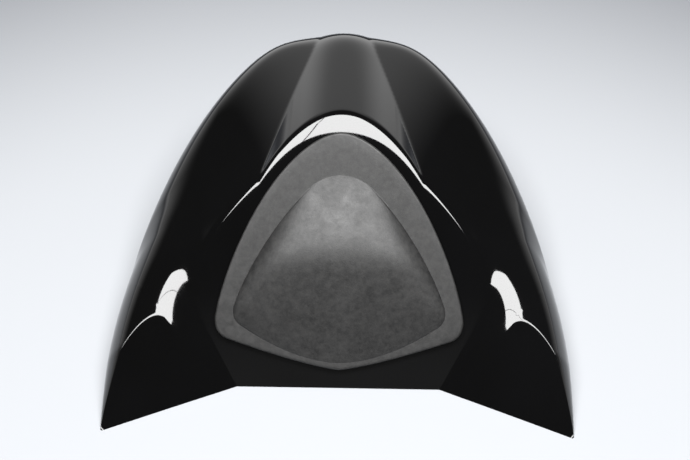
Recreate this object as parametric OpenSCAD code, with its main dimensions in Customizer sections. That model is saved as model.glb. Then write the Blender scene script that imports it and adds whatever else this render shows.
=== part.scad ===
// Rear seat cowl for a sports motorbike: a one-piece moulded shell with a raised spine,
// two shoulder grooves, a sloping front with a stuck-on hip pad, and the latch hardware
// that hangs inside it. Front towards -Y, tail towards +Y, the rim rests on Z = 0.

/* [Shell outline] */
// Length from the front tips to the tail
cowl_l = 327.6; // [320:0.2:336]
// Greatest width, a little behind the front tips
cowl_w = 327; // [318:1:336]
// How far each front tip lies inside the greatest half width
tip_inset = 2.4; // [1:0.1:5]
// Distance behind the tips where the cowl is widest
wide_y = 54.8; // [46:0.2:62]
// Fullness of the outline towards the tail, higher is squarer
plan_power = 1.94; // [1.86:0.02:2]
// Wall thickness of the moulding
wall = 3; // [2.4:0.1:3.6]

/* [Front] */
// Half width of the straight lip between the wings
notch_half = 71; // [62:1:78]
// How far the straight lip lies behind the tips
notch_set = 39; // [32:1:46]
// Slope of the seat facet that carries the pad, from level
seat_angle = 43.7; // [43:0.1:44.5]
// Slope of the two wing facets, from level
wing_angle = 38.1; // [37:0.1:39]
// Rounding of the ridge's crest, between its bevel and the top
crest_blend = 1.8; // [1.2:0.1:3]
// Depth of the bevel under the ridge, beside the pad
bevel_side = 0.8; // [0.5:0.1:1.4]
// Extra depth of the bevel at the middle of the arch
bevel_arch = 2.4; // [1.6:0.1:2.8]
// Half width of the stretch of arch that has the deeper bevel
bevel_arch_half = 44; // [35:1:56]
// Distance from the middle where the ridge begins to sharpen towards the wings
bevel_end_x = 92; // [86:1:98]

/* [Top] */
// Height of the shoulders at the wings
shoulder_front = 59.4; // [57:0.2:61]
// Height of the shoulders towards the tail
shoulder_back = 98; // [95:0.2:101]
// Distance behind the tips where the shoulders begin to rise
rise_start = 40; // [36:0.5:46]
// Distance behind the tips where the shoulders stop rising
rise_end = 240; // [232:1:248]
// Height of the spine above its reference station
spine_h = 134.9; // [132.1:0.1:137]
// Distance behind the tips of the spine's reference station
spine_y = 164; // [160:1:168]
// Fall of the spine for each millimetre towards the tail
spine_fall = 0.113; // [0.1:0.001:0.125]
// Sideways roundness of the spine
spine_round = 0.0106; // [0.0100:0.0001:0.0115]
// Half width of the spine where its edges run out
spine_end_half = 30; // [26:1:33]
// Distance behind the tips where the spine's edges run out
spine_end_y = 256; // [250:1:262]
// Widening of the spine for each millimetre towards the front
spine_flare = 0.255; // [0.23:0.005:0.28]
// Rounding where the spine runs into the shoulders
spine_blend = 4; // [3:0.5:6]

/* [Shoulder grooves] */
// Depth of each groove at the wing
groove_depth = 31; // [28:0.2:32]
// Width over which a groove fades out towards the middle
groove_in = 24; // [21:0.5:27]
// Width over which a groove fades out towards the side
groove_out = 21; // [20:0.5:23]
// Distance of each groove from the middle, at its front end
groove_x = 107.5; // [106.5:0.1:108.5]
// Distance behind the tips where a groove is still at its full depth
groove_full_y = 35; // [33:0.5:37]
// Distance behind the tips where a groove has faded out
groove_end_y = 120; // [116:1:126]

/* [Rim relief] */
// Length of the shallow relief in the right rim
relief_l = 48; // [30:1:60]
// Depth of the relief, measured up from the rim
relief_h = 4; // [2:0.5:5]
// Distance from the front tips to the start of the relief
relief_y = 108; // [100:1:115]

/* [Hip pad] */
// Half width of the pad across its lower corners
pad_half = 88; // [84:0.5:89]
// Height of the pad's tip, measured up the seat facet
pad_top = 180; // [172:1:182]
// Height of the pad's lowest point, measured up the seat facet
pad_bottom = 13.4; // [11:0.2:16]
// Height of the pad's lower corners, measured up the seat facet
pad_corner = 42; // [40:0.5:44]
// Thickness of the pad's outer band
band_t = 4.5; // [3.5:0.1:6]
// Extra thickness of the pad's raised middle
cushion_t = 13; // [10:0.5:15]
// Half width of the raised middle
cushion_half = 75.5; // [73:0.5:77]
// Height of the tip of the raised middle, measured up the seat facet
cushion_top = 150; // [145:1:153]
// Thickness of the adhesive foam tape under the pad
tape_t = 1; // [0.6:0.1:1.2]
// How far the tape stops short of the pad's edge
tape_inset = 4; // [3:0.5:6]

/* [Bosses and latch] */
// Outer radius of the moulded bosses
boss_r = 7; // [6.5:0.1:8]
// Radius of the pilot holes in the bosses
pilot_r = 2.1; // [1.9:0.05:2.3]
// Depth of the pilot holes
pilot_l = 18; // [14:1:20]
// Distance of the latch bosses from the middle
latch_boss_x = 48; // [44:1:52]
// Distance of the latch bosses behind the tips
latch_y = 238; // [230:1:244]
// Height of the latch bosses' lower ends
latch_boss_z = 56; // [50:1:62]
// Distance of the stop bosses from the middle
stop_boss_x = 80; // [76:1:84]
// Distance of the stop bosses behind the tips
stop_y = 168; // [160:1:172]
// Height of the stop bosses' lower ends
stop_boss_z = 14; // [13:0.5:20]
// Thickness of the steel latch strap
strap_t = 2.5; // [2:0.1:3]
// Width of the steel latch strap
strap_w = 26; // [24:1:30]
// Radius of the latch loop's bar
loop_r = 4; // [3:0.25:4]
// Distance between the centres of the loop's legs
loop_span = 36; // [30:1:40]
// Height of the loop's bar above the rim plane
loop_z = 12; // [10:0.5:16]
// Radius of the rubber stops
stop_r = 11; // [9.5:0.5:13]
// Height of the rubber stops
stop_h = 10; // [8:0.5:11]

/* [Hidden] */

half_w = cowl_w / 2;
tip_half = half_w - tip_inset;
notch_run = [tip_half - 1 - notch_half, -notch_set];
notch_len = norm(notch_run);
shell_colour = [0.03, 0.03, 0.035];
rubber_colour = [0.10, 0.10, 0.10];
steel_colour = [0.72, 0.72, 0.74];

// Grid of the moulding: columns across half the front, rows up the front and over the top
columns_seat = 22;
wing_fine = [for (i = [0:10]) 0.035 * i];
wing_wide = [for (i = [1:7]) mix(0.35, 1, i / 7)];
rows_front = 8;
rows_top = 22;
rows_front_in = 4;
rows_top_in = 12;
// Angle along the outline at which the seat facet's edge meets it
corner_phi = 67;
// Share of a wing's columns that end behind the widest station
wing_share = 0.55;
// Fullness of the cross-section at the front, half way and at the tail
fullness_front = 2.25;
fullness_mid = 2;
fullness_tail = 5.41;
// Squareness of the shoulder at the front, half way and at the tail
shoulder_sq_front = 2.5;
shoulder_sq_mid = 2.52;
shoulder_sq_back = 2.59;
// Sharpness of the drop at the tail
tail_drop = 37.6;
// Slope of the flank beside the spine at its end, and its growth towards the front
flank_slope = 0.299;
flank_growth = 0.00302;
// Further growth of that slope, with the square of the distance past a station
flank_curl = 0.00005;
flank_curl_from = 100;
// Rounding at both ends of the shoulders' rise, as a share of it
rise_round = 0.25;
// Fullness and squareness with which the spine and flanks close down at the outline
crown_fullness = 6;
crown_sq = 6;
// Length over which the ridge sharpens at the wings, and the bevel that is left there
bevel_fade_l = 18;
edge_left = 0.12;
// Weight of the front in the slope of the bevel under the ridge
bevel_tilt = 0.65;
// Length over which the shoulders rise from the tips
nose_l = 47.9;
// Sideways drift of a groove for each millimetre towards the tail
groove_drift = 0.08;

// Points along the low edge, the corner and the side of each pad outline
loop_low = 7;
loop_bend = 5;
loop_side = 12;
// Rounding of the band's upper edge, and the band's width at the low middle
band_round = 1.2;
edge_low = 5.1;
// Height of the raised middle's corners and of its highest point, up the seat facet
cushion_corner = pad_corner + 8;
cushion_centre = 80;
// Shares of the way to the middle at which the dome has a ring of points
dome_shares = [0.08, 0.2, 0.36, 0.56, 0.78];

// Clearance holes and threads
screw_hole_r = pilot_r + 0.5;
rod_play = 0.2;
thread_play = 0.05;
// Length of screw in a boss
grip_l = pilot_l - 4;
// Inside bend of the loop, to the middle of its bar
loop_bend_r = 10;
washer_t = 1.6;
nut_h = 6.5;
// Recess in the underside of a rubber stop, and the washer in it
recess_r = 7;
recess_h = 4;
stop_washer_t = 1.2;

function clamp01(t) = min(max(t, 0), 1);
function smooth(t) = let (u = clamp01(t)) u * u * (3 - 2 * u);
function mix(a, b, t) = a + (b - a) * t;
// A smooth run of a value from a to c, drawn towards b half way
function bend(a, b, c, t) = a * (1 - t) * (1 - t) + b * 2 * t * (1 - t) + c * t * t;
function soft_max(a, b, k) = let (h = clamp01(0.5 + 0.5 * (a - b) / k)) b + (a - b) * h + k * h * (1 - h);
function soft_min(a, b, k) = -soft_max(-a, -b, k);

// Half width of the outline at a distance y behind the tips, moved inwards by o
function outline(y, o) =
    let (t = clamp01((y - wide_y) / (cowl_l - o - wide_y)))
    y > wide_y ? (half_w - o) * pow(1 - pow(t, plan_power), 1 / plan_power)
               : half_w - o - tip_inset * pow((wide_y - y) / wide_y, 2);

// Shoulder height along the cowl
function shoulder(y, o) =
    let (t = (y - rise_start) / (rise_end - rise_start))
    mix(shoulder_front, shoulder_back, soft_min(soft_max(t, 0, rise_round), 1, rise_round))
    * sqrt(clamp01(y / nose_l)) - o;

// Rounded body without the spine and grooves
function body(x, y, o) =
    let (t = clamp01(y / (cowl_l - o)),
         m = bend(fullness_front, fullness_mid, fullness_tail, t),
         n = bend(shoulder_sq_front, shoulder_sq_mid, shoulder_sq_back, t),
         r = clamp01(abs(x) / max(outline(y, o), 0.001)))
    shoulder(y, o) * (1 - pow(t, tail_drop)) * pow(clamp01(1 - pow(r, m)), 1 / n);

function spine_edge(y) = spine_end_half + spine_flare * (spine_end_y - y);
function spine(x, y, o) =
    (spine_h - spine_fall * (y - spine_y)) * (1 - pow(clamp01(y / (cowl_l - o)), tail_drop))
    - spine_round * x * x - o;
// The straight flank that runs down from each edge of the spine
function flank(x, y, o) =
    let (e = spine_edge(y), d = spine_end_y - y,
         a = flank_slope + flank_growth * d + flank_curl * pow(max(d - flank_curl_from, 0), 2))
    abs(x) > e ? spine(e, y, o) - a * (abs(x) - e) : -1000;

// Spine and flanks together, closed down to nothing at the outline
function crown(x, y, o) =
    let (high = max(spine(x, y, o), flank(x, y, o)), r = clamp01(abs(x) / max(outline(y, o), 0.001)))
    high > 0 ? high * pow(1 - pow(r, crown_fullness), 1 / crown_sq) : high;

function groove(x, y) =
    let (off = abs(x) - groove_x + groove_drift * (y - 54), d = off / (off > 0 ? groove_out : groove_in))
    groove_depth * exp(-d * d) * (1 - smooth((y - groove_full_y) / (groove_end_y - groove_full_y)));

// Height of the top skin
function top(x, y, o) =
    let (b = body(x, y, o))
    max(0, soft_max(b, crown(x, y, o), spine_blend) - groove(x, y) * clamp01(b / 30));

// Height of the front skin: the seat facet, and the wing facets on either side
function front(x, y, o) =
    let (seat = (y - notch_set) * tan(seat_angle) - o / cos(seat_angle),
         away = ((abs(x) - notch_half) * notch_set + (y - notch_set) * notch_run[0]) / notch_len,
         wing = away * tan(wing_angle) - o / cos(wing_angle))
    max(seat, wing);

// The whole skin: the top and the front, with a bevel under the ridge
function skin(x, y, o) =
    let (t = top(x, y, o), f = front(x, y, o), fade = smooth((abs(x) - bevel_end_x) / bevel_fade_l),
         c = mix(bevel_side + bevel_arch * exp(-pow(x / bevel_arch_half, 2)), edge_left, fade),
         slant = mix(t, f, bevel_tilt) - c)
    max(0, soft_min(soft_min(f, slant, c), t, mix(crest_blend, edge_left, fade)));

// Lip points, from the middle (u = 0) to the corner (u = 1), then to the tip (u = 2)
function lip_setback(o, a) = o / sin(a);
function wing_start(o) =
    let (s = lip_setback(o, wing_angle), base = [notch_half, notch_set] + s * [notch_set, notch_run[0]] / notch_len,
         yc = notch_set + lip_setback(o, seat_angle))
    base + notch_run * (yc - base[1]) / notch_run[1];
function wing_share_end(o) =
    let (a = wing_start(o)) min(1, (outline(4, o) - 1.2 - a[0]) / notch_run[0]);
function lip(u, o) =
    let (a = wing_start(o))
    u <= 1 ? [a[0] * u, a[1]] : a + notch_run * (u - 1) * wing_share_end(o);

// Rim points that belong to the same columns
function rim_phi(phi, o) =
    [(half_w - o) * pow(sin(phi), 2 / plan_power),
     wide_y + (cowl_l - o - wide_y) * pow(cos(phi), 2 / plan_power)];
function rim(u, o) =
    let (w = u - 1, y_end = max(lip(2, o)[1], 0) + 0.8,
         y = mix(wide_y, y_end, (w - wing_share) / (1 - wing_share)))
    u <= 1 ? rim_phi(corner_phi * u, o)
    : w < wing_share ? rim_phi(mix(corner_phi, 90, w / wing_share), o)
    : [outline(y, o), y];

// Share of a column at which the front skin meets the top skin
function crossing(a, b, o, lo = 0, hi = 1, n = 24) =
    n == 0 ? (lo + hi) / 2
    : let (q = (lo + hi) / 2, p = mix(a, b, q))
      front(p[0], p[1], o) < top(p[0], p[1], o) ? crossing(a, b, o, q, hi, n - 1)
                                                : crossing(a, b, o, lo, q, n - 1);

column_us = concat([for (i = [0:columns_seat - 1]) i / columns_seat],
                   [for (w = concat(wing_fine, wing_wide)) 1 + w]);
half_count = len(column_us);
// Signed columns from the left tip to the right tip
columns = concat([for (i = [half_count - 1:-1:1]) [-1, column_us[i]]], [for (u = column_us) [1, u]]);
column_count = len(columns);

function column(side, u, o, nf, nt) =
    let (a = lip(u, o), b = rim(u, o), q0 = crossing(a, b, o))
    [for (k = [0:nf + nt])
        let (q = k <= nf ? q0 * sin(90 * k / nf) : q0 + (1 - q0) * sin(90 * (k - nf) / nt), p = mix(a, b, q),
             z = (k == 0 || k == nf + nt) ? 0 : skin(p[0], p[1], o))
        [side * p[0], p[1], z]];

// Triangles of a grid of points, rows by columns, facing one way or the other
function grid_faces(first, columns_n, rows_n, flip) =
    [for (c = [0:columns_n - 2], r = [0:rows_n - 2])
        let (a = first + c * rows_n + r, b = a + rows_n)
        each flip ? [[a, b + 1, b], [a, a + 1, b + 1]] : [[a, b, b + 1], [a, b + 1, a + 1]]];

// The moulded skin: an outer grid, an inner grid, the level rim between them, and the tip ends
module moulding() {
    rows_out = rows_front + rows_top + 1;
    rows_in = rows_front_in + rows_top_in + 1;
    outer = [for (c = columns) each column(c[0], c[1], 0, rows_front, rows_top)];
    inner = [for (c = columns) each column(c[0], c[1], wall, rows_front_in, rows_top_in)];
    first_in = len(outer);
    last_col = column_count - 1;
    tip_out = last_col * rows_out;
    tip_in = first_in + last_col * rows_in;
    tip_fan_out = [for (k = [1:rows_out - 2]) each [[0, k + 1, k], [tip_out, tip_out + k, tip_out + k + 1]]];
    tip_fan_in = [for (k = [1:rows_in - 2])
        each [[first_in, first_in + k, first_in + k + 1], [tip_in, tip_in + k + 1, tip_in + k]]];
    lip_ring = [for (c = [0:last_col - 1])
        let (a = c * rows_out, b = a + rows_out, p = first_in + c * rows_in, q = p + rows_in)
        each [[a, b, q], [a, q, p]]];
    rim_ring = [for (c = [0:last_col - 1])
        let (a = (c + 1) * rows_out - 1, b = a + rows_out, p = first_in + (c + 1) * rows_in - 1, q = p + rows_in)
        each [[a, p, q], [a, q, b]]];
    tip_ring = [
        let (a = 0, b = rows_out - 1, p = first_in, q = first_in + rows_in - 1) each [[b, a, p], [b, p, q]],
        let (a = tip_out, b = a + rows_out - 1, p = tip_in, q = p + rows_in - 1) each [[a, b, q], [a, q, p]]];
    polyhedron(concat(outer, inner), concat(
        grid_faces(0, column_count, rows_out, true),
        grid_faces(first_in, column_count, rows_in, false),
        tip_fan_out, tip_fan_in, lip_ring, rim_ring, tip_ring));
}

// Moves a sub-part from the tips' frame to the part's frame
module placed() translate([0, -cowl_l / 2, 0]) children();
// Places children on both sides of the middle
module both_sides(x, y, z) for (side = [-1, 1]) placed() translate([side * x, y, z]) children();

// A boss that hangs from the skin, from z0 up into the wall above it
module boss(x, y, z0) {
    n = 24;
    ring = [for (i = [0:n - 1]) [x + boss_r * cos(360 * i / n), y + boss_r * sin(360 * i / n)]];
    low = [for (p = ring) [p[0], p[1], z0]];
    high = [for (p = ring) [p[0], p[1], skin(p[0], p[1], wall) + wall / 2]];
    sides = [for (i = [0:n - 1])
        let (j = (i + 1) % n) each [[i, n + i, n + j], [i, n + j, j]]];
    cap = [for (k = [1:n - 2]) [n, n + k + 1, n + k]];
    polyhedron(concat(low, high), concat([[for (i = [0:n - 1]) i]], sides, cap));
}

module shell() color(shell_colour) difference() {
    union() {
        placed() moulding();
        placed() for (side = [-1, 1]) {
            boss(side * latch_boss_x, latch_y, latch_boss_z);
            boss(side * stop_boss_x, stop_y, stop_boss_z);
        }
    }
    both_sides(latch_boss_x, latch_y, latch_boss_z - 1) cylinder(r = pilot_r, h = pilot_l + 1, $fn = 32);
    both_sides(stop_boss_x, stop_y, stop_boss_z - 1) cylinder(r = pilot_r, h = pilot_l + 1, $fn = 32);
    placed() translate([outline(relief_y + relief_l, 0) - 12, relief_y, -1]) cube([40, relief_l, relief_h + 1]);
}

// Outlines on the seat facet: x across, s up the slope
function side_x(s, w, s0, top, k, m) = w * pow(1 - pow(clamp01((s - s0) / (top - s0)), k), m);
function pad_side(s) = side_x(s, pad_half, pad_corner, pad_top, 1.4, 0.574);
function pad_low(x) = pad_bottom + (pad_corner - 4.5 - pad_bottom) * pow(x / pad_half, 1.29);
function cushion_side(s) = side_x(s, cushion_half, cushion_corner, cushion_top, 1.3, 0.727);
function cushion_low(x) =
    pad_bottom + edge_low + (cushion_corner - 1.4 - pad_bottom - edge_low) * pow(x / cushion_half, 1.83);
// Right half of a loop, from the low middle round the corner to the tip
function half_loop(kind) =
    let (w = kind == "pad" ? pad_half : cushion_half,
         tip = kind == "pad" ? pad_top : cushion_top,
         low_end = [0.9 * w, kind == "pad" ? pad_low(0.9 * w) : cushion_low(0.9 * w)],
         knee = [w, kind == "pad" ? pad_corner - 3.5 : cushion_corner - 2.5],
         s1 = kind == "pad" ? pad_corner + 8 : cushion_corner + 7,
         side_start = [kind == "pad" ? pad_side(s1) : cushion_side(s1), s1])
    concat([for (i = [0:loop_low - 1])
                let (x = 0.9 * w * i / loop_low) [x, kind == "pad" ? pad_low(x) : cushion_low(x)]],
           [for (i = [0:loop_bend - 1]) bend(low_end, knee, side_start, i / loop_bend)],
           [for (i = [0:loop_side])
                let (s = s1 + (tip - s1) * sin(90 * i / loop_side))
                [i == loop_side ? 0 : kind == "pad" ? pad_side(s) : cushion_side(s), s]]);
function whole_loop(kind) =
    let (h = half_loop(kind), n = len(h)) concat(h, [for (i = [n - 2:-1:1]) [-h[i][0], h[i][1]]]);
function drawn_in(loop, share) =
    [for (p = loop) [p[0] * (1 - share), mix(p[1], cushion_centre, share)]];
function at_height(loop, n) = [for (p = loop) [p[0], p[1], n]];

module on_seat() placed() translate([0, notch_set, 0]) rotate([seat_angle, 0, 0]) children();

// The moulded pad: a flat band all round and a domed middle
module hip_pad() {
    edge = whole_loop("pad");
    crown = whole_loop("cushion");
    n = len(edge);
    low = tape_t;
    rings = concat(
        [at_height(edge, low), at_height(edge, low + band_t - band_round),
         at_height(drawn_in(edge, band_round / cushion_half), low + band_t),
         at_height(crown, low + band_t)],
        [for (f = dome_shares) at_height(drawn_in(crown, f), low + band_t + cushion_t * (1 - pow(1 - f, 2)))]);
    count = len(rings);
    points = concat([for (r = rings) each r], [[0, cushion_centre, low + band_t + cushion_t]]);
    last = (count - 1) * n;
    color(rubber_colour) on_seat() polyhedron(points, concat(
        [[for (i = [0:n - 1]) i]],
        [for (r = [0:count - 2], i = [0:n - 1])
            let (j = (i + 1) % n, a = r * n + i, b = r * n + j) each [[a, a + n, b + n], [a, b + n, b]]],
        [for (i = [0:n - 1]) [last + i, count * n, last + (i + 1) % n]]));
}

module pad_tape() color(rubber_colour) on_seat()
    linear_extrude(tape_t) polygon(drawn_in(whole_loop("pad"), tape_inset / cushion_half));

// Height of the strap's lower face, and of the loop's pieces on it
strap_low = latch_boss_z - strap_t;
module latch_strap() color(steel_colour) placed() translate([0, latch_y, strap_low]) difference() {
    union() {
        translate([-latch_boss_x, -strap_w / 2, 0]) cube([2 * latch_boss_x, strap_w, strap_t]);
        for (side = [-1, 1]) translate([side * latch_boss_x, 0, 0]) cylinder(r = strap_w / 2, h = strap_t, $fn = 48);
    }
    for (side = [-1, 1]) {
        translate([side * latch_boss_x, 0, -1]) cylinder(r = screw_hole_r, h = strap_t + 2, $fn = 32);
        translate([side * loop_span / 2, 0, -1]) cylinder(r = loop_r + rod_play, h = strap_t + 2, $fn = 32);
    }
}

// The bent rod that the catch takes hold of
module latch_loop() color(steel_colour) placed() translate([0, latch_y, loop_z]) {
    flat = loop_span / 2 - loop_bend_r;
    translate([-flat, 0, 0]) rotate([0, 90, 0]) cylinder(r = loop_r, h = 2 * flat, $fn = 48);
    for (side = [-1, 1]) {
        translate([side * flat, 0, loop_bend_r]) rotate([90, 0, 0])
            rotate_extrude(angle = 90, start = side > 0 ? 270 : 180, $fn = 64)
                translate([loop_bend_r, 0]) circle(r = loop_r, $fn = 48);
        translate([side * loop_span / 2, 0, loop_bend_r])
            cylinder(r = loop_r, h = leg_top - loop_z - loop_bend_r, $fn = 48);
    }
}

// Heights of the washers and nuts above and below the strap
washer_zs = [strap_low - washer_t, latch_boss_z];
nut_zs = [strap_low - washer_t - nut_h, latch_boss_z + washer_t];
leg_top = latch_boss_z + washer_t + nut_h + 3;
module loop_washers() color(steel_colour) for (z = washer_zs) both_sides(loop_span / 2, latch_y, z) difference() {
    cylinder(r = 2 * loop_r, h = washer_t, $fn = 48);
    translate([0, 0, -1]) cylinder(r = loop_r + rod_play, h = washer_t + 2, $fn = 32);
}
module loop_nuts() color(steel_colour) for (z = nut_zs) both_sides(loop_span / 2, latch_y, z) difference() {
    cylinder(r = 1.62 * loop_r / cos(30), h = nut_h, $fn = 6);
    translate([0, 0, -1]) cylinder(r = loop_r + thread_play, h = nut_h + 2, $fn = 32);
}

// A pan-head screw, head down, its head's upper face at Z = 0
module screw(head_r, head_h, shank_l) {
    translate([0, 0, -head_h]) cylinder(r1 = head_r * 0.86, r2 = head_r, h = head_h, $fn = 40);
    cylinder(r = pilot_r - thread_play, h = shank_l, $fn = 32);
}
module strap_screws() color(steel_colour)
    both_sides(latch_boss_x, latch_y, strap_low) screw(5, 3, strap_t + grip_l);

// The rubber stops under the side bosses, with a recess for a washer and screw head
stop_low = stop_boss_z - stop_h;
module rubber_stops() color(rubber_colour) both_sides(stop_boss_x, stop_y, stop_low) difference() {
    union() {
        cylinder(r1 = stop_r - 1, r2 = stop_r, h = 1, $fn = 64);
        translate([0, 0, 1]) cylinder(r = stop_r, h = stop_h - 1, $fn = 64);
    }
    translate([0, 0, -1]) cylinder(r = recess_r, h = recess_h + 1, $fn = 48);
    cylinder(r = screw_hole_r, h = stop_h + 1, $fn = 32);
}
module stop_washers() color(steel_colour)
    both_sides(stop_boss_x, stop_y, stop_low + recess_h - stop_washer_t) difference() {
        cylinder(r = recess_r - 0.5, h = stop_washer_t, $fn = 48);
        translate([0, 0, -1]) cylinder(r = screw_hole_r, h = stop_washer_t + 2, $fn = 32);
    }
module stop_screws() color(steel_colour)
    both_sides(stop_boss_x, stop_y, stop_low + recess_h - stop_washer_t)
        screw(4.4, 2.2, stop_washer_t + stop_h - recess_h + grip_l);

shell();
hip_pad();
pad_tape();
latch_strap();
latch_loop();
loop_washers();
loop_nuts();
strap_screws();
rubber_stops();
stop_washers();
stop_screws();
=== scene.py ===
"""Looks of the seat cowl: glossy shell, rubber hip pad, hardware inside, and a plain studio."""
import math

import bpy
import numpy as np
from mathutils import Matrix, Vector


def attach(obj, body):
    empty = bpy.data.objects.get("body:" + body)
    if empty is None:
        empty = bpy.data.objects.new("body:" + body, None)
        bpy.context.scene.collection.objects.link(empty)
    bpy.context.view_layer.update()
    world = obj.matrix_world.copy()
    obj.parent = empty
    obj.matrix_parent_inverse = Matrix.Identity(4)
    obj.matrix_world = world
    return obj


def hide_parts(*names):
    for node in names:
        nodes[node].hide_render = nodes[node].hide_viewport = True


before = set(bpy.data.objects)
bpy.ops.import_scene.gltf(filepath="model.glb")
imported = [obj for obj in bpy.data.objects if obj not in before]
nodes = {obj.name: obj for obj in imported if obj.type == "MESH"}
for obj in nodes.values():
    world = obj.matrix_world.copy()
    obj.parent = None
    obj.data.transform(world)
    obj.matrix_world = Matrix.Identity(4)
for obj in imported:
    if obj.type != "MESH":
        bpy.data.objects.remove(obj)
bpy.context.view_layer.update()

# A millimetre in metres, and the least half width, in mm, that a share is taken of
MM = 0.001
TINY = 0.001

# Outline and wall, in mm, as in the part's source; distances along are from the tips
COWL_L, COWL_W, TIP_INSET, WIDE_Y, PLAN_POWER, WALL = 327.6, 327.0, 2.4, 54.8, 1.94, 3.0

# Front: the lip's notch, the facets' slopes and the bevel under the ridge
NOTCH_HALF, NOTCH_SET, TIP_GAP, SEAT_ANGLE, WING_ANGLE = 71.0, 39.0, 1.0, 43.7, 38.1
CREST_BLEND, BEVEL_SIDE, BEVEL_ARCH, BEVEL_ARCH_HALF, BEVEL_TILT = 1.8, 0.8, 2.4, 44.0, 0.65
BEVEL_END_X, BEVEL_FADE_L, EDGE_LEFT = 92.0, 18.0, 0.12

# Top: the shoulders, the spine with its flanks, and the groove in each shoulder
SHOULDER_FRONT, SHOULDER_BACK, NOSE_L = 59.4, 98.0, 47.9
RISE_START, RISE_END, RISE_ROUND = 40.0, 240.0, 0.25
SPINE_H, SPINE_Y, SPINE_FALL, SPINE_ROUND, SPINE_BLEND = 134.9, 164.0, 0.113, 0.0106, 4.0
SPINE_END_HALF, SPINE_END_Y, SPINE_FLARE = 30.0, 256.0, 0.255
FLANK_SLOPE, FLANK_GROWTH, FLANK_CURL, FLANK_CURL_FROM = 0.299, 0.00302, 0.00005, 100.0
NO_FLANK = -1000.0
CROWN_FULLNESS, CROWN_SQ = 6.0, 6.0
GROOVE_DEPTH, GROOVE_IN, GROOVE_OUT, GROOVE_X, GROOVE_DRIFT = 31.0, 24.0, 21.0, 107.5, 0.08
GROOVE_FULL_Y, GROOVE_END_Y, GROOVE_DRIFT_Y, GROOVE_BODY_H = 35.0, 120.0, 54.0, 30.0
FULLNESS_FRONT, FULLNESS_MID, FULLNESS_TAIL = 2.25, 2.0, 5.41
SHOULDER_SQ_FRONT, SHOULDER_SQ_MID, SHOULDER_SQ_BACK = 2.5, 2.52, 2.59
TAIL_DROP = 37.6

# Relief in the right rim, with the length of its sloping ends
RELIEF_L, RELIEF_H, RELIEF_Y, RELIEF_END = 48.0, 4.0, 108.0, 1.5

# Pad and cushion; distances along are up the seat facet
PAD_HALF, PAD_TOP, PAD_BOTTOM, PAD_CORNER = 88.0, 180.0, 13.4, 42.0
BAND_T, BAND_EDGE_R, TAPE_T = 4.5, 1.5, 1.0
PAD_SIDE_POWERS, PAD_LOW_POWER, PAD_LOW_SET = (1.4, 0.574), 1.29, 4.5
CUSHION_HALF, CUSHION_TOP, CUSHION_CENTRE, CUSHION_RISE, EDGE_LOW = 75.5, 149.5, 80.0, 8.0, 5.1
CUSHION_SIDE_POWERS, CUSHION_LOW_POWER, CUSHION_LOW_SET = (1.3, 0.727), 1.83, 1.4
CUSHION_TIP_R, CUSHION_TIP_SPREAD, CUSHION_TIP_ROUND, CUSHION_OVERRUN = 26.0, 0.85, 2.0, 6.0

# Bend between the low edge and the side: where it starts across, its knee and its end up the side
LOW_SHARE = 0.9
PAD_BEND_LOW, PAD_BEND_HIGH = 3.5, 8.0
CUSHION_BEND_LOW, CUSHION_BEND_HIGH = 2.5, 7.0

# The cushion's two faces, in mm: heights at its low and top ends, slopes towards their bend, the
# bend's softness, and the powers that round the cushion's edge
FACE_LOW, FACE_LOW_RISE = 2.0, 0.15
FACE_TOP, FACE_TOP_RISE = 0.6, 0.24
FACE_BEND, FACE_EDGE_POWERS = 6.0, (4, 0.7)

# Bosses inside the shell
BOSS_R, BOSS_MOUTH = 7.0, 0.5
PILOT_R, PILOT_L, PILOT_MOUTH, PILOT_AXIS_R = 2.1, 18.0, 0.6, 0.01
LATCH_BOSS_X, LATCH_Y, LATCH_BOSS_Z = 48.0, 238.0, 56.0
STOP_BOSS_X, STOP_Y, STOP_BOSS_Z = 80.0, 168.0, 14.0

# Lengths that follow from these: the wing's run in plan, the cushion's middle, the pad's bends
HALF_W = COWL_W / 2
TIP_HALF = HALF_W - TIP_INSET - TIP_GAP
NOTCH_RUN = np.array([TIP_HALF - NOTCH_HALF, -NOTCH_SET])
CUSHION_CORNER = PAD_CORNER + CUSHION_RISE
MIDDLE = np.array([0, CUSHION_CENTRE])
PAD_BEND = (PAD_CORNER - PAD_BEND_LOW, PAD_CORNER + PAD_BEND_HIGH)
CUSHION_BEND = (CUSHION_CORNER - CUSHION_BEND_LOW, CUSHION_CORNER + CUSHION_BEND_HIGH)

# Density of the shell's mesh: columns across each half, rows over the outside and the inside
SEAT_COLUMNS, WING_COLUMNS = 92, 84
FRONT_ROWS, TOP_ROWS = 60, 116
FRONT_ROWS_IN, TOP_ROWS_IN = 10, 26
BOSS_STEPS = 40

# Where the columns end on the rim: the angle of the fold's column, shares of the wing's columns
CORNER_PHI, WING_SHARE, WING_DENSE = 69.55, 0.55, 0.45
RIM_START, LIP_END_Y, LIP_END_GAP = 0.8, 4.0, 1.2

# Halvings in the search for the ridge; rounding of lip and rim: reach, share of a span, steps
CROSSING_STEPS = 40
EDGE_ROUND, EDGE_SHARE, EDGE_STEPS = 0.9, 0.45, (0, 0.25, 0.5, 0.75, 1)

# Density of the pad's mesh: points along the low edge, the bend and the side, then rings, which
# crowd towards the cushion's foot, and the share drawn in at which its middle is measured
PAD_COUNTS = (36, 16, 56)
DOME_RINGS, DOME_CROWD, BAND_RINGS, EDGE_RINGS = 44, 1.7, 6, 6
LAST_SHARE = 0.9999

# Angles in degrees up to which a mesh is shaded smooth
SHELL_SMOOTH, PAD_SMOOTH = 50, 60

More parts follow.
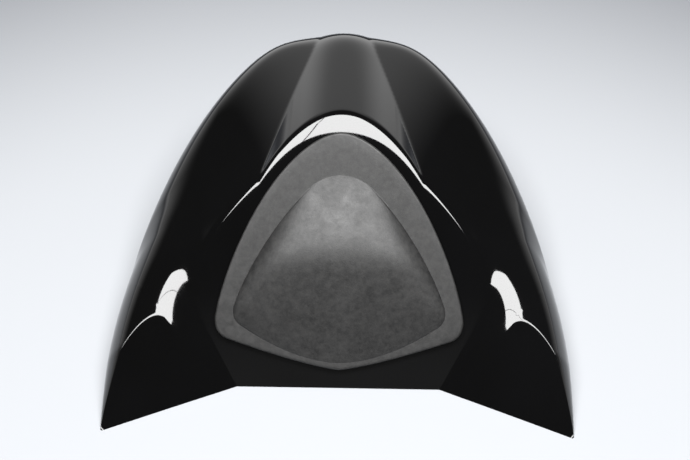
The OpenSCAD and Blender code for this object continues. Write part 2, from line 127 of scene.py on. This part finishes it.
# Materials: dark and light colour, low and high roughness, and waves of the grain per metre
PAD_RUBBER = ((0.007,) * 3, (0.022, 0.0215, 0.021), 0.42, 0.60, 1500)
TAPE_FOAM = ((0.02,) * 3, (0.03,) * 3, 0.8, 0.9, 2500)
STOP_RUBBER = ((0.012,) * 3, (0.02,) * 3, 0.55, 0.7, 900)
SHELL_GLOSS = ((0.0016,) * 3, (0.0024, 0.0024, 0.0026), 0.03, 0.07)
STEEL = ((0.5,) * 3, (0.66, 0.66, 0.64), 0.28, 0.42)
STEEL_NODES = (
    "latch_strap",
    "latch_loop",
    "loop_washers",
    "loop_nuts",
    "strap_screws",
    "stop_washers",
    "stop_screws",
)

# The span of a noise over which a colour or a roughness changes
NOISE_LOW, NOISE_HIGH = 0.3, 0.7

# Camera: its place and aim as found from the photo, in metres and degrees
CAMERA_PLACE = (0.00964, -0.47495 - COWL_L / 2 * MM, 0.678)
CAMERA_DOWN, CAMERA_LEFT, CAMERA_ROLL = 45.3, 0.62, 0.45
CAMERA_LENS, SENSOR_W = 62.6, 36.0

# Lamps: two soft boxes side by side, above and in front of the object, in metres
BOX_BRIGHT, BOX_Y, BOX_H = 20.5, -0.34, 1.5
BOX_MAIN_X, BOX_MAIN_SIZE = 0.36, (1.24, 0.62)
BOX_SIDE_X, BOX_SIDE_SIZE = -0.61, (0.66, 0.62)

# Floor: its colour, the painted shade that darkens it towards its far corners, and the painted glow
# far out on both sides
FLOOR_HALF, FLOOR_ROUGH, FLOOR_SHEEN = 8, 0.9, 0.1
FLOOR_COLOUR, FLOOR_PAINTED_SHADE = (0.345, 0.355, 0.372), (0.10, 0.105, 0.118)
FLOOR_MIDDLE, FLOOR_SHADE_FROM = (0.0, -0.2, 0.0), (0.33, 0.98)
FLOOR_PAINTED_GLOW_FROM, FLOOR_PAINTED_GLOW = (0.45, 1.2), 0.75

# Room: brightness of the walls by height, behind the object by turn and height, and in front
WALL_FADE, WALL_GLOW, WALL_DARK = (-0.05, 0.26), 0.65, 0.035
BACK_TURN, BACK_FADE, BACK_RISE = (0.36, 1.0), (0.60, 0.82), (0.08, 0.40)
BACK_LOW_GLOW, BACK_GLOW, BACK_START = 1.6, 0.72, 0.05
FRONT_WIDE, FRONT_FADE, FRONT_GLOW = (0.08, 0.34), (-0.765, -0.69), 0.19
ROOM_FILL = 0.12


def clamp01(t):
    """t held between 0 and 1."""
    return np.clip(t, 0, 1)


def smooth(t):
    """An even S-shaped run from 0 to 1."""
    u = clamp01(t)
    return u * u * (3 - 2 * u)


def mix(a, b, t):
    """A value between a, at t = 0, and b, at t = 1."""
    return a + (b - a) * t


def curve(a, b, c, t):
    """A smooth run of a value from a to c, drawn towards b half way."""
    return a * (1 - t) ** 2 + b * 2 * t * (1 - t) + c * t * t


def soft_max(a, b, k):
    """The larger of two values, with a rounded change over a difference of k."""
    h = clamp01(0.5 + 0.5 * (a - b) / k)
    return b + (a - b) * h + k * h * (1 - h)


def soft_min(a, b, k):
    """The smaller of two values, rounded in the same way."""
    return -soft_max(-a, -b, k)


def tan_deg(a):
    """Tangent of an angle in degrees."""
    return math.tan(math.radians(a))


def cos_deg(a):
    """Cosine of an angle in degrees."""
    return math.cos(math.radians(a))


def outline(y, inward):
    """Half width of the cowl at a distance y behind the tips."""
    t = clamp01((y - WIDE_Y) / (COWL_L - inward - WIDE_Y))
    back = (HALF_W - inward) * clamp01(1 - t**PLAN_POWER) ** (1 / PLAN_POWER)
    front = HALF_W - inward - TIP_INSET * ((WIDE_Y - y) / WIDE_Y) ** 2
    return np.where(y > WIDE_Y, back, front)


def shoulder(y, inward):
    """Height of the body along its middle, before the tail drops."""
    t = (y - RISE_START) / (RISE_END - RISE_START)
    rise = soft_min(soft_max(t, 0, RISE_ROUND), 1, RISE_ROUND)
    return mix(SHOULDER_FRONT, SHOULDER_BACK, rise) * np.sqrt(clamp01(y / NOSE_L)) - inward


def body(x, y, inward):
    """The rounded body under the spine."""
    t = clamp01(y / (COWL_L - inward))
    fullness = curve(FULLNESS_FRONT, FULLNESS_MID, FULLNESS_TAIL, t)
    square = curve(SHOULDER_SQ_FRONT, SHOULDER_SQ_MID, SHOULDER_SQ_BACK, t)
    r = clamp01(np.abs(x) / np.maximum(outline(y, inward), TINY))
    return shoulder(y, inward) * (1 - t**TAIL_DROP) * clamp01(1 - r**fullness) ** (1 / square)


def spine_edge(y):
    """Half width of the spine, which widens towards the front."""
    return SPINE_END_HALF + SPINE_FLARE * (SPINE_END_Y - y)


def spine(x, y, inward):
    """The arched top of the spine."""
    tail = 1 - clamp01(y / (COWL_L - inward)) ** TAIL_DROP
    along = (SPINE_H - SPINE_FALL * (y - SPINE_Y)) * tail
    return along - SPINE_ROUND * x * x - inward


def flank(x, y, inward):
    """The straight flank that runs down from each edge of the spine."""
    edge = spine_edge(y)
    ahead = SPINE_END_Y - y
    curl = FLANK_CURL * np.maximum(ahead - FLANK_CURL_FROM, 0) ** 2
    slope = FLANK_SLOPE + FLANK_GROWTH * ahead + curl
    return np.where(np.abs(x) > edge, spine(edge, y, inward) - slope * (np.abs(x) - edge), NO_FLANK)


def crown(x, y, inward):
    """Spine and flanks together, closed down to nothing at the outline."""
    r = clamp01(np.abs(x) / np.maximum(outline(y, inward), TINY))
    high = np.maximum(spine(x, y, inward), flank(x, y, inward))
    return np.where(high > 0, high * clamp01(1 - r**CROWN_FULLNESS) ** (1 / CROWN_SQ), high)


def groove(x, y):
    """Depth of the groove that makes the dimple in each shoulder."""
    centre = GROOVE_X - GROOVE_DRIFT * (y - GROOVE_DRIFT_Y)
    off = np.abs(x) - centre
    across = off / np.where(off > 0, GROOVE_OUT, GROOVE_IN)
    fade = 1 - smooth((y - GROOVE_FULL_Y) / (GROOVE_END_Y - GROOVE_FULL_Y))
    return GROOVE_DEPTH * np.exp(-across * across) * fade


def top(x, y, inward):
    """The top: body and crown, less the grooves."""
    b = body(x, y, inward)
    dent = groove(x, y) * clamp01(b / GROOVE_BODY_H)
    return np.maximum(0, soft_max(b, crown(x, y, inward), SPINE_BLEND) - dent)


def front(x, y, inward):
    """The seat facet and the wing facets."""
    seat = (y - NOTCH_SET) * tan_deg(SEAT_ANGLE) - inward / cos_deg(SEAT_ANGLE)
    across = (np.abs(x) - NOTCH_HALF) * NOTCH_SET
    along = (y - NOTCH_SET) * NOTCH_RUN[0]
    away = (across + along) / np.linalg.norm(NOTCH_RUN)
    wing = away * tan_deg(WING_ANGLE) - inward / cos_deg(WING_ANGLE)
    return np.maximum(seat, wing)


def skin(x, y, inward):
    """The whole skin: the top and the front, with a bevel under the ridge."""
    t, f = top(x, y, inward), front(x, y, inward)
    fade = smooth((np.abs(x) - BEVEL_END_X) / BEVEL_FADE_L)
    bevel = mix(BEVEL_SIDE + BEVEL_ARCH * np.exp(-((x / BEVEL_ARCH_HALF) ** 2)), EDGE_LEFT, fade)
    slant = mix(t, f, BEVEL_TILT) - bevel
    return np.maximum(0, soft_min(soft_min(f, slant, bevel), t, mix(CREST_BLEND, EDGE_LEFT, fade)))


def lip_points(u, inward):
    """Plan points along the front lip: u runs from 0 in the middle, over 1 at the fold, to 2."""
    length = np.linalg.norm(NOTCH_RUN)
    set_wing = inward / math.sin(math.radians(WING_ANGLE))
    set_seat = inward / math.sin(math.radians(SEAT_ANGLE))
    out_of_wing = np.array([NOTCH_SET, NOTCH_RUN[0]]) / length
    base = np.array([NOTCH_HALF, NOTCH_SET]) + set_wing * out_of_wing
    corner = base + NOTCH_RUN * (NOTCH_SET + set_seat - base[1]) / NOTCH_RUN[1]
    end_x = float(outline(LIP_END_Y, inward)) - LIP_END_GAP
    share = min(1, (end_x - corner[0]) / NOTCH_RUN[0])
    seat = np.stack([corner[0] * u, np.full_like(u, corner[1])], -1)
    wing = corner + NOTCH_RUN * ((u - 1) * share)[:, None]
    return np.where((u <= 1)[:, None], seat, wing)


def rim_points(u, inward):
    """Plan points along the side and tail rim, one for each lip point."""
    y_end = max(lip_points(np.array([2.0]), inward)[0, 1], 0) + RIM_START
    w = u - 1
    phi = np.radians(np.where(u <= 1, CORNER_PHI * u, mix(CORNER_PHI, 90, w / WING_SHARE)))
    phi = np.minimum(phi, math.pi / 2)
    round_x = (HALF_W - inward) * clamp01(np.sin(phi)) ** (2 / PLAN_POWER)
    round_y = WIDE_Y + (COWL_L - inward - WIDE_Y) * clamp01(np.cos(phi)) ** (2 / PLAN_POWER)
    side_y = mix(WIDE_Y, y_end, clamp01((w - WING_SHARE) / (1 - WING_SHARE)))
    ahead = w > WING_SHARE
    rim_x = np.where(ahead, outline(side_y, inward), round_x)
    rim_y = np.where(ahead, side_y, round_y)
    return np.stack([rim_x, rim_y], -1)


def crossing(a, b, inward):
    """Share of each column at which the front meets the top."""
    low, high = np.zeros(len(a)), np.ones(len(a))
    for _ in range(CROSSING_STEPS):
        q = (low + high) / 2
        p = mix(a, b, q[:, None])
        under = front(p[:, 0], p[:, 1], inward) < top(p[:, 0], p[:, 1], inward)
        low, high = np.where(under, q, low), np.where(under, high, q)
    return (low + high) / 2


def skin_columns(u, inward, front_rows, top_rows):
    """Points of the skin, columns by rows, from the lip over the ridge to the rim."""
    a, b = lip_points(u, inward), rim_points(u, inward)
    q0 = crossing(a, b, inward)
    up = np.sin(np.linspace(0, math.pi / 2, front_rows + 1))
    over = np.sin(np.linspace(0, math.pi / 2, top_rows + 1))[1:]
    q = np.concatenate([q0[:, None] * up, q0[:, None] + (1 - q0[:, None]) * over], 1)
    p = mix(a[:, None], b[:, None], q[..., None])
    z = skin(p[..., 0], p[..., 1], inward)
    z[:, 0] = z[:, -1] = 0
    return np.concatenate([p, z[..., None]], -1)


def rounded(before, corner, after, reach):
    """Points that round a corner between two neighbours, for every column."""
    back, ahead = before - corner, after - corner
    back_l = np.linalg.norm(back, axis=-1, keepdims=True)
    ahead_l = np.linalg.norm(ahead, axis=-1, keepdims=True)
    start = corner + back / back_l * np.minimum(reach, EDGE_SHARE * back_l)
    end = corner + ahead / ahead_l * np.minimum(reach, EDGE_SHARE * ahead_l)
    return np.stack([curve(start, corner, end, t) for t in EDGE_STEPS], 1)


def to_frame(points):
    """From mm behind the tips to metres in the row frame."""
    return (np.asarray(points) - np.array([0, COWL_L / 2, 0])) * MM


def make_mesh(name, points, faces, smooth_angle=None):
    """A new object of the given points and faces, smooth up to an angle in degrees."""
    mesh = bpy.data.meshes.new(name)
    mesh.from_pydata([tuple(p) for p in points], [], faces)
    mesh.validate()
    mesh.update()
    for polygon in mesh.polygons:
        polygon.use_smooth = True
    if smooth_angle is not None:
        mesh.set_sharp_from_angle(angle=math.radians(smooth_angle))
    obj = bpy.data.objects.new(name, mesh)
    bpy.context.scene.collection.objects.link(obj)
    return obj


def loft_faces(first, count, size, closed):
    """Quads between count rings of the same size."""
    faces = []
    last = size if closed else size - 1
    for c in range(count - 1):
        for r in range(last):
            a, b = first + c * size + r, first + c * size + (r + 1) % size
            faces.append((a, b, b + size, a + size))
    return faces


def boss_mesh(x, y, low):
    """A boss with a rounded mouth and a pilot hole, its top following the skin above it."""
    angles = np.linspace(0, 2 * math.pi, BOSS_STEPS, endpoint=False)
    points = []
    for a in angles:
        across, along = math.cos(a), math.sin(a)
        roof = float(skin(x + BOSS_R * across, y + BOSS_R * along, WALL))
        profile = [
            (PILOT_AXIS_R, low + PILOT_L),
            (PILOT_R, low + PILOT_L),
            (PILOT_R, low + PILOT_MOUTH),
            (PILOT_R + BOSS_MOUTH, low),
            (BOSS_R - BOSS_MOUTH, low),
            (BOSS_R, low + BOSS_MOUTH),
            (BOSS_R, roof + WALL / 2),
        ]
        points += [(x + r * across, y + r * along, z) for r, z in profile]
    size = len(points) // BOSS_STEPS
    faces = []
    for i in range(BOSS_STEPS):
        for k in range(size - 1):
            a, b = i * size + k, ((i + 1) % BOSS_STEPS) * size + k
            faces.append((a, a + 1, b + 1, b))
    return points, faces


def relief_height(points):
    """Height of the right rim: the shallow relief, with short sloping ends."""
    y = points[:, 1]
    ends = smooth((y - RELIEF_Y) / RELIEF_END) * smooth((RELIEF_Y + RELIEF_L - y) / RELIEF_END)
    return RELIEF_H * ends


def shell_rings():
    """Closed rings of points, one for each column from the left wing to the right wing."""
    seat_u = np.linspace(0, 1, SEAT_COLUMNS, endpoint=False)
    wing_u = 1 + WING_DENSE * np.linspace(0, 1, WING_COLUMNS * 2 // 3, endpoint=False)
    side_u = np.linspace(1 + WING_DENSE, 2, WING_COLUMNS // 3)
    u = np.concatenate([seat_u, wing_u, side_u])
    outer = skin_columns(u, 0, FRONT_ROWS, TOP_ROWS)
    inner = skin_columns(u, WALL, FRONT_ROWS_IN, TOP_ROWS_IN)[:, ::-1]
    halves = []
    for side in (-1, 1):
        turn = np.array([side, 1, 1])
        o, i = outer * turn, inner * turn
        raised = relief_height(o[:, -1]) if side > 0 else 0
        o[:, -1, 2] = i[:, 0, 2] = raised
        rim_edge = rounded(o[:, -2], o[:, -1], i[:, 0], EDGE_ROUND)
        lip_edge = rounded(i[:, -1], o[:, 0], o[:, 1], EDGE_ROUND)
        halves.append(np.concatenate([o[:, 1:-1], rim_edge, i[:, 1:], lip_edge], 1))
    return np.concatenate([halves[0][:0:-1], halves[1]], 0)


def sharpen_folds(obj, folds, size):
    """Marks the folds between the seat facet and the wings as sharp, up to the ridge's bevel."""
    for edge in obj.data.edges:
        (c0, r0), (c1, r1) = (divmod(v, size) for v in edge.vertices)
        if c0 == c1 and c0 in folds and max(r0, r1) < FRONT_ROWS - 1:
            edge.use_edge_sharp = True


def make_shell():
    """The shell: its rings joined into one skin, and the four bosses inside it."""
    rings = shell_rings()
    count, size = rings.shape[:2]
    points = [tuple(p) for p in rings.reshape(-1, 3)]
    faces = loft_faces(0, count, size, True)
    faces.append(tuple(range(size)))
    faces.append(tuple(range((count - 1) * size, count * size))[::-1])
    places = [(s * LATCH_BOSS_X, LATCH_Y, LATCH_BOSS_Z) for s in (-1, 1)]
    places += [(s * STOP_BOSS_X, STOP_Y, STOP_BOSS_Z) for s in (-1, 1)]
    for x, y, low in places:
        boss_points, boss_faces = boss_mesh(x, y, low)
        first = len(points)
        points += boss_points
        faces += [tuple(first + k for k in f) for f in boss_faces]
    obj = make_mesh("shell_skin", to_frame(points), faces, SHELL_SMOOTH)
    middle = (count - 1) // 2
    sharpen_folds(obj, {middle - SEAT_COLUMNS, middle + SEAT_COLUMNS}, size)
    return obj


def side_x(s, width, start, tip, k, m):
    """Half width of a pad outline that closes from its corner to its tip."""
    return width * clamp01(1 - clamp01((s - start) / (tip - start)) ** k) ** m


def pad_side(s):
    """Half width of the pad."""
    return side_x(s, PAD_HALF, PAD_CORNER, PAD_TOP, *PAD_SIDE_POWERS)


def pad_low(x):
    """Place up the facet of the pad's low edge."""
    return PAD_BOTTOM + (PAD_CORNER - PAD_LOW_SET - PAD_BOTTOM) * (x / PAD_HALF) ** PAD_LOW_POWER


def cushion_side(s):
    """Half width of the cushion, with a rounded tip."""
    tip = CUSHION_TOP + CUSHION_OVERRUN
    flat = side_x(s, CUSHION_HALF, CUSHION_CORNER, tip, *CUSHION_SIDE_POWERS)
    left = np.maximum(CUSHION_TOP - s, 0)
    cap = np.sqrt(2 * CUSHION_TIP_R * left + (CUSHION_TIP_SPREAD * left) ** 2)
    return soft_min(flat, cap, CUSHION_TIP_ROUND)


def cushion_low(x):
    """Place up the facet of the cushion's low edge."""
    low = PAD_BOTTOM + EDGE_LOW
    return low + (CUSHION_CORNER - CUSHION_LOW_SET - low) * (x / CUSHION_HALF) ** CUSHION_LOW_POWER


def half_loop(width, tip, low, side, knee_s, side_s):
    """Right half of a pad outline on the seat facet, from the low middle to the tip."""
    low_n, bend_n, side_n = PAD_COUNTS
    low_end = LOW_SHARE * width
    x = low_end * np.linspace(0, 1, low_n, endpoint=False)
    low_part = np.stack([x, low(x)], -1)
    a = np.array([low_end, low(low_end)])
    b = np.array([width, knee_s])
    c = np.array([side(side_s), side_s])
    t = np.linspace(0, 1, bend_n, endpoint=False)[:, None]
    bend_part = curve(a, b, c, t)
    s = side_s + (tip - side_s) * np.sin(np.linspace(0, math.pi / 2, side_n + 1))
    side_part = np.stack([side(s), s], -1)
    side_part[-1, 0] = 0
    return np.concatenate([low_part, bend_part, side_part])


def whole_loop(half):
    """A closed outline from its right half."""
    mirrored = half[-2:0:-1] * np.array([-1, 1])
    return np.concatenate([half, mirrored])


def drawn_in(loop, share):
    """The loop drawn in towards the middle by a share."""
    return mix(loop, MIDDLE, share)


def pillow_ring(loop, share):
    """The loop drawn in towards the middle and rounded as it shrinks, so that no crest is left."""
    spokes = loop - MIDDLE
    length = np.linalg.norm(spokes, axis=1, keepdims=True)
    round_spokes = spokes / length * length.mean()
    return MIDDLE + (1 - share) * mix(spokes, round_spokes, smooth(share))


def on_seat(points):
    """From the seat facet's own axes (across, up the slope, out) to mm behind the tips."""
    a = math.radians(SEAT_ANGLE)
    x, s, n = points[..., 0], points[..., 1], points[..., 2]
    y = NOTCH_SET + s * math.cos(a) - n * math.sin(a)
    z = s * math.sin(a) + n * math.cos(a)
    return np.stack([x, y, z], -1)


def at_height(loop, n):
    """The loop at a height above the seat facet."""
    return np.concatenate([loop, np.full((len(loop), 1), float(n))], 1)


def cushion_ring(foot, share, base):
    """A ring of the cushion: a long lower face and a short upper one meet in a soft bend."""
    loop = pillow_ring(foot, share)
    s = loop[:, 1]
    lower = FACE_LOW + FACE_LOW_RISE * (s - PAD_BOTTOM - EDGE_LOW)
    upper = FACE_TOP + FACE_TOP_RISE * (CUSHION_TOP - s)
    inner, outer = FACE_EDGE_POWERS
    height = soft_min(lower, upper, FACE_BEND) * (1 - (1 - share) ** inner) ** outer
    return np.concatenate([loop, base + height[:, None]], 1)


def make_pad():
    """The pad: its band with a rounded edge, then the cushion, ring by ring to the middle."""
    edge = whole_loop(half_loop(PAD_HALF, PAD_TOP, pad_low, pad_side, *PAD_BEND))
    foot_half = half_loop(CUSHION_HALF, CUSHION_TOP, cushion_low, cushion_side, *CUSHION_BEND)
    foot = whole_loop(foot_half)
    low, band_top = TAPE_T, TAPE_T + BAND_T
    rings = [at_height(edge, low)]
    for k in range(EDGE_RINGS + 1):
        a = math.pi / 2 * k / EDGE_RINGS
        share = BAND_EDGE_R * (1 - math.cos(a)) / CUSHION_HALF
        rings.append(at_height(drawn_in(edge, share), band_top - BAND_EDGE_R * (1 - math.sin(a))))
    inner_edge = drawn_in(edge, BAND_EDGE_R / CUSHION_HALF)
    for k in range(1, BAND_RINGS + 1):
        rings.append(at_height(mix(inner_edge, foot, 1 - (1 - k / BAND_RINGS) ** 2), band_top))
    shares = np.linspace(0, 1, DOME_RINGS + 1)[1:-1] ** DOME_CROWD
    rings += [cushion_ring(foot, share, band_top) for share in shares]
    count, size = len(rings), len(edge)
    middle = cushion_ring(foot, LAST_SHARE, band_top).mean(axis=0)
    points = np.concatenate(rings + [middle[None]])
    faces = loft_faces(0, count, size, True)
    last, centre = (count - 1) * size, count * size
    faces += [(last + i, last + (i + 1) % size, centre) for i in range(size)]
    faces.append(tuple(range(size))[::-1])
    return make_mesh("hip_pad_moulding", to_frame(on_seat(points)), faces, PAD_SMOOTH)


def node_tree(name):
    """A new material with its nodes and its shader."""
    material = bpy.data.materials.new(name)
    material.use_nodes = True
    tree = material.node_tree
    return material, tree, tree.nodes["Principled BSDF"]


def object_noise(tree, scale, detail, rough=0.5):
    """Noise fixed to the object, with so many waves per metre."""
    coords = tree.nodes.new("ShaderNodeTexCoord")
    noise = tree.nodes.new("ShaderNodeTexNoise")
    noise.inputs["Scale"].default_value = scale
    noise.inputs["Detail"].default_value = detail
    noise.inputs["Roughness"].default_value = rough
    tree.links.new(coords.outputs["Object"], noise.inputs["Vector"])
    return noise.outputs["Fac"]


def set_roughness(tree, shader, source, low, high):
    """Roughness between two values, led by a noise."""
    spread = tree.nodes.new("ShaderNodeMapRange")
    spread.inputs["From Min"].default_value = NOISE_LOW
    spread.inputs["From Max"].default_value = NOISE_HIGH
    spread.inputs["To Min"].default_value = low
    spread.inputs["To Max"].default_value = high
    tree.links.new(source, spread.inputs["Value"])
    tree.links.new(spread.outputs["Result"], shader.inputs["Roughness"])


def set_colour(tree, shader, source, dark, light, start=NOISE_LOW, end=NOISE_HIGH):
    """Base colour between two colours, led by a value that runs from start to end."""
    ramp = tree.nodes.new("ShaderNodeValToRGB")
    ramp.color_ramp.elements[0].position = start
    ramp.color_ramp.elements[0].color = (*dark, 1)
    ramp.color_ramp.elements[1].position = end
    ramp.color_ramp.elements[1].color = (*light, 1)
    tree.links.new(source, ramp.inputs["Fac"])
    tree.links.new(ramp.outputs["Color"], shader.inputs["Base Color"])


def set_bump(tree, shader, source, strength, distance):
    """A fine relief, led by a noise."""
    node = tree.nodes.new("ShaderNodeBump")
    node.inputs["Strength"].default_value = strength
    node.inputs["Distance"].default_value = distance
    tree.links.new(source, node.inputs["Height"])
    tree.links.new(node.outputs["Normal"], shader.inputs["Normal"])


def shell_material():
    """Polished black moulding with faint handling marks in its gloss."""
    material, tree, shader = node_tree("shell_gloss")
    dark, light, rough_low, rough_high = SHELL_GLOSS
    set_colour(tree, shader, object_noise(tree, scale=9, detail=4), dark, light)
    haze = object_noise(tree, scale=30, detail=6, rough=0.6)
    set_roughness(tree, shader, haze, rough_low, rough_high)
    shader.inputs["IOR"].default_value = 1.5
    return material


def rubber_material(name, dark, light, rough_low, rough_high, grain):
    """Matt moulded rubber with a fine grain and slightly rubbed patches."""
    material, tree, shader = node_tree(name)
    cloud = object_noise(tree, scale=220, detail=8, rough=0.8)
    set_colour(tree, shader, cloud, dark, light, start=0.38, end=0.62)
    patches = object_noise(tree, scale=60, detail=8, rough=0.7)
    set_roughness(tree, shader, patches, rough_low, rough_high)
    fine = object_noise(tree, scale=grain, detail=2, rough=0.6)
    set_bump(tree, shader, fine, strength=0.4, distance=0.0002)
    return material


def steel_material():
    """Zinc-plated steel with a light brushed grain."""
    material, tree, shader = node_tree("steel")
    shader.inputs["Metallic"].default_value = 1.0
    dark, light, rough_low, rough_high = STEEL
    grain = object_noise(tree, scale=400, detail=2)
    set_colour(tree, shader, grain, dark, light)
    set_roughness(tree, shader, grain, rough_low, rough_high)
    return material


def dress(obj, material):
    """Gives an object its material, under the slot's name."""
    obj.data.materials.clear()
    obj.data.materials.append(material)


def make_camera():
    """The camera at the photo's angle."""
    down, left, roll = (math.radians(a) for a in (CAMERA_DOWN, CAMERA_LEFT, CAMERA_ROLL))
    across, along = -math.sin(left) * math.cos(down), math.cos(left) * math.cos(down)
    ahead = Vector((across, along, -math.sin(down)))
    level = Vector((math.cos(left), math.sin(left), 0))
    above = level.cross(ahead)
    right = level * math.cos(roll) + above * math.sin(roll)
    up = above * math.cos(roll) - level * math.sin(roll)
    data = bpy.data.cameras.new("camera")
    data.lens = CAMERA_LENS
    data.sensor_width = SENSOR_W
    camera = bpy.data.objects.new("camera", data)
    bpy.context.scene.collection.objects.link(camera)
    turn = Matrix((right, up, -ahead)).transposed().to_4x4()
    camera.matrix_world = Matrix.Translation(CAMERA_PLACE) @ turn
    bpy.context.scene.camera = camera


def make_soft_box(name, x, size):
    """A rectangular lamp that looks straight down, out of the camera's sight."""
    data = bpy.data.lights.new(name, "AREA")
    data.shape = "RECTANGLE"
    data.size, data.size_y = size
    data.energy = BOX_BRIGHT * math.pi * size[0] * size[1]
    lamp = bpy.data.objects.new(name, data)
    bpy.context.scene.collection.objects.link(lamp)
    lamp.location = (x, BOX_Y, BOX_H)
    lamp.visible_camera = False


def math_node(tree, operation, a, b):
    """A sum, product or the like of two numbers or sockets."""
    node = tree.nodes.new("ShaderNodeMath")
    node.operation = operation
    for socket, value in zip(node.inputs, (a, b)):
        if isinstance(value, (int, float)):
            socket.default_value = value
        else:
            tree.links.new(value, socket)
    return node.outputs["Value"]


def soft_range(tree, source, low, high, start, end):
    """A value that runs smoothly from start, at low, to end, at high."""
    spread = tree.nodes.new("ShaderNodeMapRange")
    spread.interpolation_type = "SMOOTHSTEP"
    spread.inputs["From Min"].default_value = low
    spread.inputs["From Max"].default_value = high
    spread.inputs["To Min"].default_value = start
    spread.inputs["To Max"].default_value = end
    tree.links.new(source, spread.inputs["Value"])
    return spread.outputs["Result"]


def seen_directly(tree):
    """1 for what the camera sees, itself or in a gloss or through a clear piece, otherwise 0."""
    path = tree.nodes.new("ShaderNodeLightPath")
    glossy, through = path.outputs["Is Glossy Ray"], path.outputs["Is Transmission Ray"]
    mirrored = math_node(tree, "MAXIMUM", glossy, through)
    return math_node(tree, "MAXIMUM", path.outputs["Is Camera Ray"], mirrored)


def make_floor():
    """A pale floor with painted shade that darkens it towards its far corners, and a painted glow
    far out on both sides, though it is no lamp.
    """
    corners = [(-1, -1, 0), (1, -1, 0), (1, 1, 0), (-1, 1, 0)]
    points = [(FLOOR_HALF * x, FLOOR_HALF * y, z) for x, y, z in corners]
    floor = make_mesh("floor", points, [(0, 1, 2, 3)])
    material, tree, shader = node_tree("floor_pale")
    shader.inputs["Roughness"].default_value = FLOOR_ROUGH
    shader.inputs["Specular IOR Level"].default_value = FLOOR_SHEEN
    coords = tree.nodes.new("ShaderNodeTexCoord")
    away = tree.nodes.new("ShaderNodeVectorMath")
    away.operation = "DISTANCE"
    away.inputs[1].default_value = FLOOR_MIDDLE
    tree.links.new(coords.outputs["Object"], away.inputs[0])
    # Painted shade: the colour darkens from the middle out towards the far corners, standing in for
    # light that falls off
    shade = soft_range(tree, away.outputs["Value"], *FLOOR_SHADE_FROM, 0.0, 1.0)
    set_colour(tree, shader, shade, FLOOR_COLOUR, FLOOR_PAINTED_SHADE, start=0.0, end=1.0)
    # Painted glow: far out on both sides the floor shines for the camera and in the gloss, though
    # it is no lamp
    parts = tree.nodes.new("ShaderNodeSeparateXYZ")
    tree.links.new(coords.outputs["Object"], parts.inputs["Vector"])
    sideways = math_node(tree, "ABSOLUTE", parts.outputs["X"], 0.0)
    glow_share = soft_range(tree, sideways, *FLOOR_PAINTED_GLOW_FROM, 0.0, FLOOR_PAINTED_GLOW)
    glow = math_node(tree, "MULTIPLY", glow_share, seen_directly(tree))
    shader.inputs["Emission Color"].default_value = (1, 1, 1, 1)
    tree.links.new(glow, shader.inputs["Emission Strength"])
    floor.data.materials.append(material)


def make_world():
    """A dim room, pale low down, higher up behind the object, and faintly in front of it."""
    world = bpy.data.worlds.new("world")
    bpy.context.scene.world = world
    world.use_nodes = True
    tree = world.node_tree
    coords = tree.nodes.new("ShaderNodeTexCoord")
    parts = tree.nodes.new("ShaderNodeSeparateXYZ")
    tree.links.new(coords.outputs["Generated"], parts.inputs["Vector"])
    sideways = math_node(tree, "ABSOLUTE", parts.outputs["X"], 0.0)
    along, height = parts.outputs["Y"], parts.outputs["Z"]
    ahead = math_node(tree, "MAXIMUM", along, BACK_START)
    turned = math_node(tree, "DIVIDE", sideways, ahead)
    back_wide = soft_range(tree, turned, *BACK_TURN, 1.0, 0.0)
    back_high = soft_range(tree, height, *BACK_FADE, 1.0, 0.0)
    back_side = soft_range(tree, along, 0.0, BACK_START, 0.0, 1.0)
    back = soft_range(tree, height, *BACK_RISE, BACK_LOW_GLOW, BACK_GLOW)
    for share in (back_wide, back_high, back_side):
        back = math_node(tree, "MULTIPLY", back, share)
    front_wide = soft_range(tree, sideways, *FRONT_WIDE, 1.0, 0.0)
    front_side = soft_range(tree, along, *FRONT_FADE, FRONT_GLOW, 0.0)
    front = math_node(tree, "MULTIPLY", front_wide, front_side)
    walls = soft_range(tree, height, *WALL_FADE, WALL_GLOW, WALL_DARK)
    room = math_node(tree, "MAXIMUM", math_node(tree, "MAXIMUM", walls, back), front)
    seen = seen_directly(tree)
    shown = math_node(tree, "MULTIPLY", room, seen)
    fill = math_node(tree, "MULTIPLY", math_node(tree, "SUBTRACT", 1.0, seen), ROOM_FILL)
    background = tree.nodes["Background"]
    background.inputs["Color"].default_value = (1, 1, 1, 1)
    tree.links.new(math_node(tree, "ADD", shown, fill), background.inputs["Strength"])


def make_studio():
    """Floor, lamps and room, with the colours shown as they are."""
    make_floor()
    make_soft_box("box_main", BOX_MAIN_X, BOX_MAIN_SIZE)
    make_soft_box("box_side", BOX_SIDE_X, BOX_SIDE_SIZE)
    make_world()
    bpy.context.scene.view_settings.view_transform = "Standard"


shell = make_shell()
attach(shell, "root")
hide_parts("shell")
dress(shell, shell_material())

pad = make_pad()
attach(pad, "root")
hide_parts("hip_pad")
dress(pad, rubber_material("pad_rubber", *PAD_RUBBER))

dress(nodes["pad_tape"], rubber_material("tape_foam", *TAPE_FOAM))
dress(nodes["rubber_stops"], rubber_material("stop_rubber", *STOP_RUBBER))
steel = steel_material()
for name in STEEL_NODES:
    dress(nodes[name], steel)

make_camera()
make_studio()
